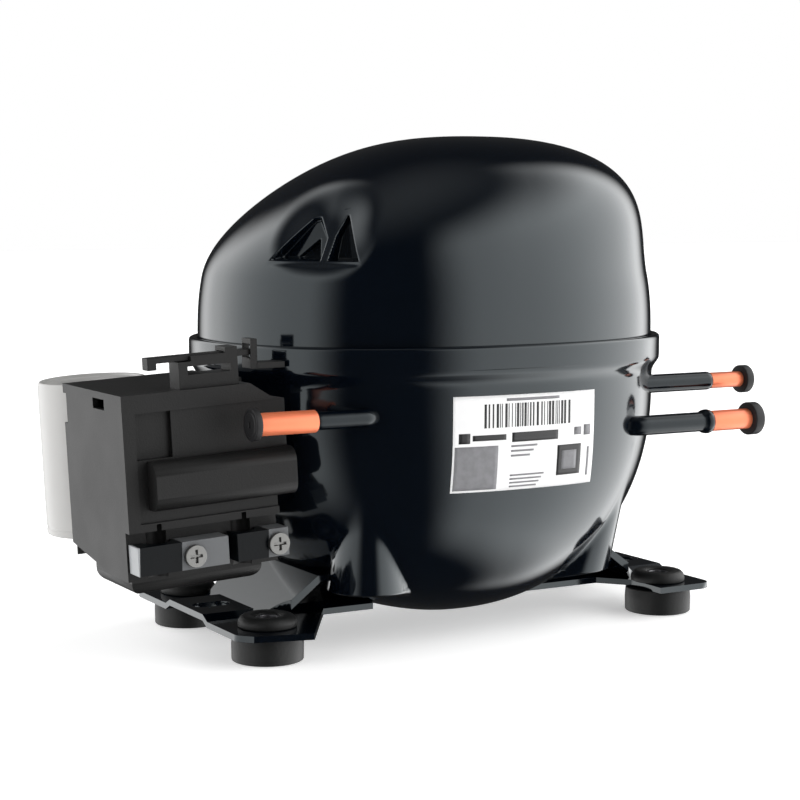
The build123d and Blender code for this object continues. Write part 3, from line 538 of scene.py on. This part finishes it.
# -------------------- sticker and its generic print, placed by X and Z on the bowl's near side
def sticker_patch(x0, x1, z0, z1, lift, columns=None):
    """A curved patch of the bowl's near side between two places along X and two heights, lifted off it."""
    columns = columns or max(2, int((x1 - x0) / 1.2))
    rows = max(2, int((z1 - z0) / 2.0))
    points, faces = [], []
    for z in np.linspace(z0, z1, rows + 1):
        t = max(0.0, (BOWL_SHOULDER - z) / (BOWL_SHOULDER - BOWL_BOTTOM))
        a = SHELL_A * narrowing(t, BOWL_POWER_X)
        b = SHELL_B * narrowing(t, BOWL_POWER_Y)
        for x in np.linspace(x0, x1, columns + 1):
            y = -b * (1 - abs(x / a) ** OVAL_POWER) ** (1 / OVAL_POWER)
            points.append((x, y - lift, z))
    for i in range(rows):
        for k in range(columns):
            p = i * (columns + 1) + k
            faces.append((p, p + 1, p + columns + 2, p + columns + 1))
    return points, faces


def printed(name, patches, slot):
    """Print on the sticker: plain patches, each given as for sticker_patch, as one thin piece."""
    mesh = merged([sticker_patch(*patch) for patch in patches])
    return thickened(piece(name, *mesh, None, slot=slot, body="compressor"), INK_THICK)


FILM_THICK, INK_THICK = 0.1, 0.02
FILM_LIFT, PRINT_LIFT, TOP_LIFT = 0.25, 0.28, 0.30
LABEL_X0, LABEL_X1, LABEL_Z0, LABEL_Z1 = -29.0, 30.7, 58.6, 92.6
label_sheet = sticker_patch(LABEL_X0, LABEL_X1, LABEL_Z0, LABEL_Z1, FILM_LIFT, 60)
thickened(piece("sticker", *label_sheet, "label"), FILM_THICK)

BARS_X0, BARS_X1, BARS_Z0, BARS_Z1 = -17.3, 18.8, 81.2, 89.6
draw = np.random.default_rng(7)
dark = []
x = BARS_X0
while x < BARS_X1:
    width = draw.choice([0.35, 0.35, 0.6, 0.95])
    dark.append((x, x + width, BARS_Z0, BARS_Z1, PRINT_LIFT, 1))
    x += width + draw.choice([0.4, 0.4, 0.65, 1.0])
dark += [(-26.9, -22.6, 76.0, 79.6, PRINT_LIFT), (-21.7, -8.5, 76.8, 78.8, PRINT_LIFT)]
dark += [(-6.1, 13.6, 75.8, 79.2, PRINT_LIFT), (13.5, 24.5, 62.5, 73.5, PRINT_LIFT)]
printed("sticker_bars", dark, "print_ink")

LINES_X = -6.4                          # where the plain lines that stand for text begin
grey = [(LINES_X, 4.6 - 1.5 * line, 74.0 - 1.7 * line, 74.7 - 1.7 * line, PRINT_LIFT) for line in range(3)]
grey += [(LINES_X, 8.0 - 1.0 * line, 63.6 - 1.35 * line, 64.2 - 1.35 * line, PRINT_LIFT) for line in range(4)]
grey += [(-8.5, 14.0, 90.4, 91.4, PRINT_LIFT), (21.0, 24.4, 76.8, 79.6, PRINT_LIFT)]
grey += [(25.6, 28.8, 76.4, 80.2, PRINT_LIFT), (27.6, 28.6, 61.5, 72.0, PRINT_LIFT)]
grey += [(15.6, 22.4, 64.6, 71.4, TOP_LIFT)]
printed("sticker_lines", grey, "print_grey")
printed("sticker_window", [(-28.3, -11.6, 59.3, 74.9, PRINT_LIFT)], "print_grey")

# -------------------- tubes, copper stubs and caps
# flare is the radius at a tube's end, and a bend of 0 leaves the route straight
TUBES = {
    "discharge": {"route": [(-45, -49, 86), (-57.5, -58.5, 86), (-78.3, -58.5, 86)],
                  "outside": 3.1, "bore": 2.0, "bend": 5, "flare": 3.1},
    "suction": {"route": [(44, -47, 77), (56, -59.5, 77), (89.6, -59.5, 77)],
                "outside": 3.7, "bore": 2.2, "bend": 6, "flare": 4.6},
    "process": {"route": [(60, -46, 91), (80, -46, 91), (99.9, -46, 91)],
                "outside": 3.5, "bore": 2.3, "bend": 0, "flare": 3.5},
}
STUBS = {
    "discharge": {"y": -58.5, "z": 86, "start": -78, "end": -99.6, "outside": 3.9, "bore": 2.9},
    "suction": {"y": -59.5, "z": 77, "start": 89.3, "end": 108, "outside": 3.9, "bore": 2.9},
    "process": {"y": -46, "z": 91, "start": 99.7, "end": 115, "outside": 3.05, "bore": 2.1},
}
CAPS = {"discharge": (5.5, 2.7), "suction": (6.3, 4.4), "process": (5.4, 3.8)}      # radius and thickness
PLUG_FIT, PLUG_LENGTH = 0.05, 8.0
HOLE, HOLE_NARROW, HOLE_TALL = 1.0, 0.45, 1.7       # the hole in a cap's face, squeezed into a slit
FLARE_FROM, FLARE_TO = 4.2, 2.4         # a flare widens between these distances from the tube's end
ROUND_LENGTH, ROUND_DEPTH = 0.6, 0.35   # how the edge of a tube's end is rounded


def tube_radius(outside, flare, back):
    """A tube's outer radius at the distance back from its end."""
    r = outside + (flare - outside) * float(1 - eased(back, FLARE_TO, FLARE_FROM))
    if back < ROUND_LENGTH:
        r -= ROUND_DEPTH * (1 - back / ROUND_LENGTH)
    return r


def moulded_cap(radius, thick, bore, end, way):
    """A rubber cap with a plug inside the stub and a slit in its face. end is the stub's end."""
    plug = bore - PLUG_FIT
    loop = rounded([(0.95, thick, 0.1), (radius - 1.6, thick, 0.1), (radius - 1.3, thick - 0.25, 0.1),
                    (radius, thick - 0.2, 0.6), (radius, 0.0, 0.5), (plug, 0.0, 0.1),
                    (plug, -PLUG_LENGTH, 0.8), (0.05, -PLUG_LENGTH, 0.0), (0.05, thick - 1.5, 0.0),
                    (0.9, thick - 1.5, 0.1)], 0.3)
    points, faces = revolve(loop, end, (way, 0, 0))
    points = np.array(points)
    off = points - np.array(end)
    slit = (np.hypot(off[:, 1], off[:, 2]) < HOLE) & (off[:, 0] * way > 0)
    points[slit, 1] = end[1] + off[slit, 1] * HOLE_NARROW
    points[slit, 2] = end[2] + off[slit, 2] * HOLE_TALL
    return points, faces


for name, tube in TUBES.items():
    path = even_steps(filleted_path(tube["route"], tube["bend"]))
    radii = [tube_radius(tube["outside"], tube["flare"], np.linalg.norm(p - path[-1])) for p in path]
    piece(name + "_tube", *swept_tube(path, radii, tube["bore"]), name + "_connector")

    stub = STUBS[name]
    length = abs(stub["end"] - stub["start"])
    way = 1 if stub["end"] > stub["start"] else -1
    stub_loop = rounded([(stub["outside"], 0.0), (stub["outside"], length),
                         (stub["bore"], length), (stub["bore"], 0.0)], 0.3)
    stub_start = (stub["start"], stub["y"], stub["z"])
    piece(name + "_copper", *revolve(stub_loop, stub_start, (way, 0, 0)), name + "_copper_stub")

    stub_end = (stub["end"], stub["y"], stub["z"])
    piece(name + "_cap_moulded", *moulded_cap(*CAPS[name], stub["bore"], stub_end, way), name + "_cap")


# -------------------- the tab behind the cover, with a window that the end of the latch enters
def keeper():
    """The upright tab with its window, and the shelf that joins it to the shell's rim."""
    x0, x1, shelf_end = -94.0, -91.5, -81.0
    outer = ((-42, 103.2), (-35, 103.2), (-35, 113.5), (-42, 113.5))
    inner = ((-41.6, 106.9), (-35.4, 106.9), (-35.4, 111.6), (-41.6, 111.6))
    shelf = ((-42, 103.2), (-35, 103.2), (-35, 105.4), (-42, 105.4))
    tab_points = [(x, y, z) for x in (x0, x1) for loop in (outer, inner) for y, z in loop]
    shelf_points = [(x, y, z) for x in (x1, shelf_end) for y, z in shelf]
    tab_faces, shelf_faces = [], [(0, 3, 2, 1), (4, 5, 6, 7)]
    for i in range(4):
        j = (i + 1) % 4
        tab_faces.append((i, 4 + i, 4 + j, j))
        tab_faces.append((8 + i, 8 + j, 12 + j, 12 + i))
        tab_faces.append((i, j, 8 + j, 8 + i))
        tab_faces.append((4 + i, 12 + i, 12 + j, 4 + j))
        shelf_faces.append((i, j, 4 + j, 4 + i))
    return merged([(tab_points, tab_faces), (shelf_points, shelf_faces)])


softened(piece("latch_keeper", *keeper(), None, slot="black_paint", body="compressor", smooth=False,
               material=materials["box_plastic"]), 0.2)

# -------------------- rubber feet and the steel sleeves in them
FEET_AT = [(side_x * 85, side_y * 35, 0) for side_x in (-1, 1) for side_y in (-1, 1)]
UP = (0, 0, 1)
foot_loop = rounded([(4.55, 0.2, 0.1), (10.8, 0.0, 0.4), (12.7, 0.3, 0.5), (12.8, 6.0, 0.6),
                     (12.5, 9.6, 0.3), (8.0, 9.65, 0.1), (8.0, 12.0, 0.1), (10.4, 12.05, 0.5),
                     (10.5, 14.2, 1.2), (9.0, 16.15, 1.3), (6.0, 16.15, 0.5), (4.55, 15.6, 0.3)], 0.3)
piece("feet", *merged([revolve(foot_loop, place, UP, 72) for place in FEET_AT]), "rubber_feet")
sleeve_loop = rounded([(3.3, 0.02), (4.5, 0.02), (4.5, 15.2), (3.3, 15.2)], 0.25)
# the sleeves take the dark bolt steel, not their zinc finish: a painted shade for their tops down inside the
# rubber collars
piece("sleeves", *merged([revolve(sleeve_loop, place, UP, 48) for place in FEET_AT]), "mounting_sleeves",
      material=materials["bolt_steel"])

# -------------------- run capacitor: a can with a rolled lip and a pressed lid, in the cover's own frame
CAN_AT = (-10.2, 31.0, 0)
can_loop = rounded([(0.01, -25.8, 0.0), (16.2, -25.8, 0.0), (17.2, -25.8, 0.3), (18.2, -26.0, 0.4),
                    (19.9, -25.6, 0.9), (19.9, -23.9, 0.5), (19.6, -23.2, 0.3), (19.9, -22.6, 0.4),
                    (19.9, 27.6, 1.2), (19.4, 30.2, 1.2), (18.2, 30.1, 0.5), (17.4, 29.2, 0.4),
                    (16.4, 29.2, 0.0), (0.01, 29.2, 0.0)], 0.3)
piece("capacitor_can", *revolve(can_loop, CAN_AT, UP, 96), "run_capacitor", place=box_frame)

# -------------------- CAD nodes that stay, with finished materials
SOFT_EDGES = {"electrical_cover": 0.35, "cover_latch": 0.25, "cable_clamp_straps": 0.35, "clamp_screws": 0.2,
              "base_plate_left": 0.35, "base_plate_right": 0.35, "terminal_guard": 0.2, "start_relay": 0.2,
              "ground_screw": 0.2, "overload_protector": 0.3}
OWN_FINISH = {"clamp_screws": "screw_steel", "capacitor_tabs": "box_plastic"}
for node, obj in frame["nodes"].items():
    if obj.hide_render:
        continue
    obj.data.materials.clear()
    obj.data.materials.append(materials[OWN_FINISH.get(node, slot_of[node])])
    if node in SOFT_EDGES:
        softened(obj, SOFT_EDGES[node])

# -------------------- floor
FLOOR_HALF, FLOOR_GLOW = 6, 0.45        # half its side in metres, and how much it shines by itself
floor_corners = [(-FLOOR_HALF, -FLOOR_HALF, 0), (FLOOR_HALF, -FLOOR_HALF, 0),
                 (FLOOR_HALF, FLOOR_HALF, 0), (-FLOOR_HALF, FLOOR_HALF, 0)]
floor_mesh = bpy.data.meshes.new("floor")
floor_mesh.from_pydata(floor_corners, [], [(0, 1, 2, 3)])
floor = bpy.data.objects.new("floor", floor_mesh)
bpy.context.scene.collection.objects.link(floor)
floor.visible_glossy = False
floor_paint = surface("floor_white", (0.93, 0.93, 0.93), 0.8, spread=0.01, mottle=3)
floor_shader = floor_paint.node_tree.nodes["Principled BSDF"]
floor_shader.inputs["Emission Color"].default_value = (1, 1, 1, 1)
floor_shader.inputs["Emission Strength"].default_value = FLOOR_GLOW
floor_mesh.materials.append(floor_paint)

# -------------------- studio light: two soft panels and a faint glow from above
world = bpy.data.worlds.new("studio")
bpy.context.scene.world = world
world.use_nodes = True
sky = world.node_tree
sky.nodes.clear()
DEGREES = 180 / math.pi


def maths(kind, a, b=None):
    """A maths node of the world. a and b are numbers or the outputs of other nodes."""
    node = sky.nodes.new("ShaderNodeMath")
    node.operation = kind
    for i, value in enumerate((a, b)):
        if value is None:
            continue
        if isinstance(value, (int, float)):
            node.inputs[i].default_value = value
        else:
            sky.links.new(value, node.inputs[i])
    return node.outputs[0]


def ramped(value, low, high, first=0.0, last=1.0):
    """A soft ramp from first, where the value is low, to last, where it is high."""
    node = sky.nodes.new("ShaderNodeMapRange")
    node.interpolation_type = "SMOOTHSTEP"
    node.inputs["From Min"].default_value = low
    node.inputs["From Max"].default_value = high
    node.inputs["To Min"].default_value = first
    node.inputs["To Max"].default_value = last
    sky.links.new(value, node.inputs["Value"])
    return node.outputs["Result"]


look = sky.nodes.new("ShaderNodeTexCoord")
look_parts = sky.nodes.new("ShaderNodeSeparateXYZ")
sky.links.new(look.outputs["Generated"], look_parts.inputs[0])
dx, dy, dz = look_parts.outputs
rise = maths("MULTIPLY", maths("ARCSINE", dz), DEGREES)


def turned(angle):
    """Azimuth of the direction, counted from angle, in degrees from -180 to 180."""
    c, s = math.cos(math.radians(angle)), math.sin(math.radians(angle))
    along = maths("ADD", maths("MULTIPLY", dx, c), maths("MULTIPLY", dy, s))
    across = maths("SUBTRACT", maths("MULTIPLY", dy, c), maths("MULTIPLY", dx, s))
    return maths("MULTIPLY", maths("ARCTAN2", across, along), DEGREES)


def light_panel(centre, left, right, low, high, between, brightness):
    """A soft panel round the azimuth centre. Each edge is given by where it starts and ends in degrees,
    and the brightness runs from one value to the other between two azimuths."""
    azimuth = turned(centre)
    panel = maths("MULTIPLY", ramped(azimuth, *left), ramped(azimuth, *right, 1.0, 0.0))
    panel = maths("MULTIPLY", panel, ramped(rise, *low))
    panel = maths("MULTIPLY", panel, ramped(rise, *high, 1.0, 0.0))
    return maths("MULTIPLY", panel, ramped(azimuth, *between, *brightness))


right_panel = light_panel(-30, left=(-64, -38), right=(42, 64), low=(-68, -40), high=(36, 66),
                          between=(-45, 15), brightness=(2.6, 4.8))
left_panel = light_panel(155, left=(-72, -50), right=(42, 72), low=(-58, -22), high=(40, 66),
                         between=(-50, 70), brightness=(3.0, 2.1))
glow = ramped(rise, 50, 90, 0.04, 0.45)
total = maths("ADD", maths("ADD", right_panel, left_panel), glow)
studio = sky.nodes.new("ShaderNodeBackground")
sky.links.new(total, studio.inputs["Strength"])
white = sky.nodes.new("ShaderNodeBackground")
white.inputs["Color"].default_value = (1, 1, 1, 1)
seen = sky.nodes.new("ShaderNodeLightPath")
mix = sky.nodes.new("ShaderNodeMixShader")
out = sky.nodes.new("ShaderNodeOutputWorld")
sky.links.new(seen.outputs["Is Camera Ray"], mix.inputs[0])
sky.links.new(studio.outputs[0], mix.inputs[1])
sky.links.new(white.outputs[0], mix.inputs[2])
sky.links.new(mix.outputs[0], out.inputs[0])

# -------------------- camera, at the photograph's viewing angle
CAMERA_AT = (-0.3702, -0.6337, 0.1578)
CAMERA_DOWN, CAMERA_TURN = 5.72, -29.49     # degrees below level, and round from looking along +Y
camera_data = bpy.data.cameras.new("camera")
camera_data.sensor_width = 36.0
camera_data.lens = 86.34
camera_data.clip_start = 0.01
camera = bpy.data.objects.new("camera", camera_data)
camera.location = CAMERA_AT
camera.rotation_euler = (math.radians(90 - CAMERA_DOWN), 0, math.radians(CAMERA_TURN))
bpy.context.scene.collection.objects.link(camera)
bpy.context.scene.camera = camera
bpy.context.scene.view_settings.view_transform = "Standard"
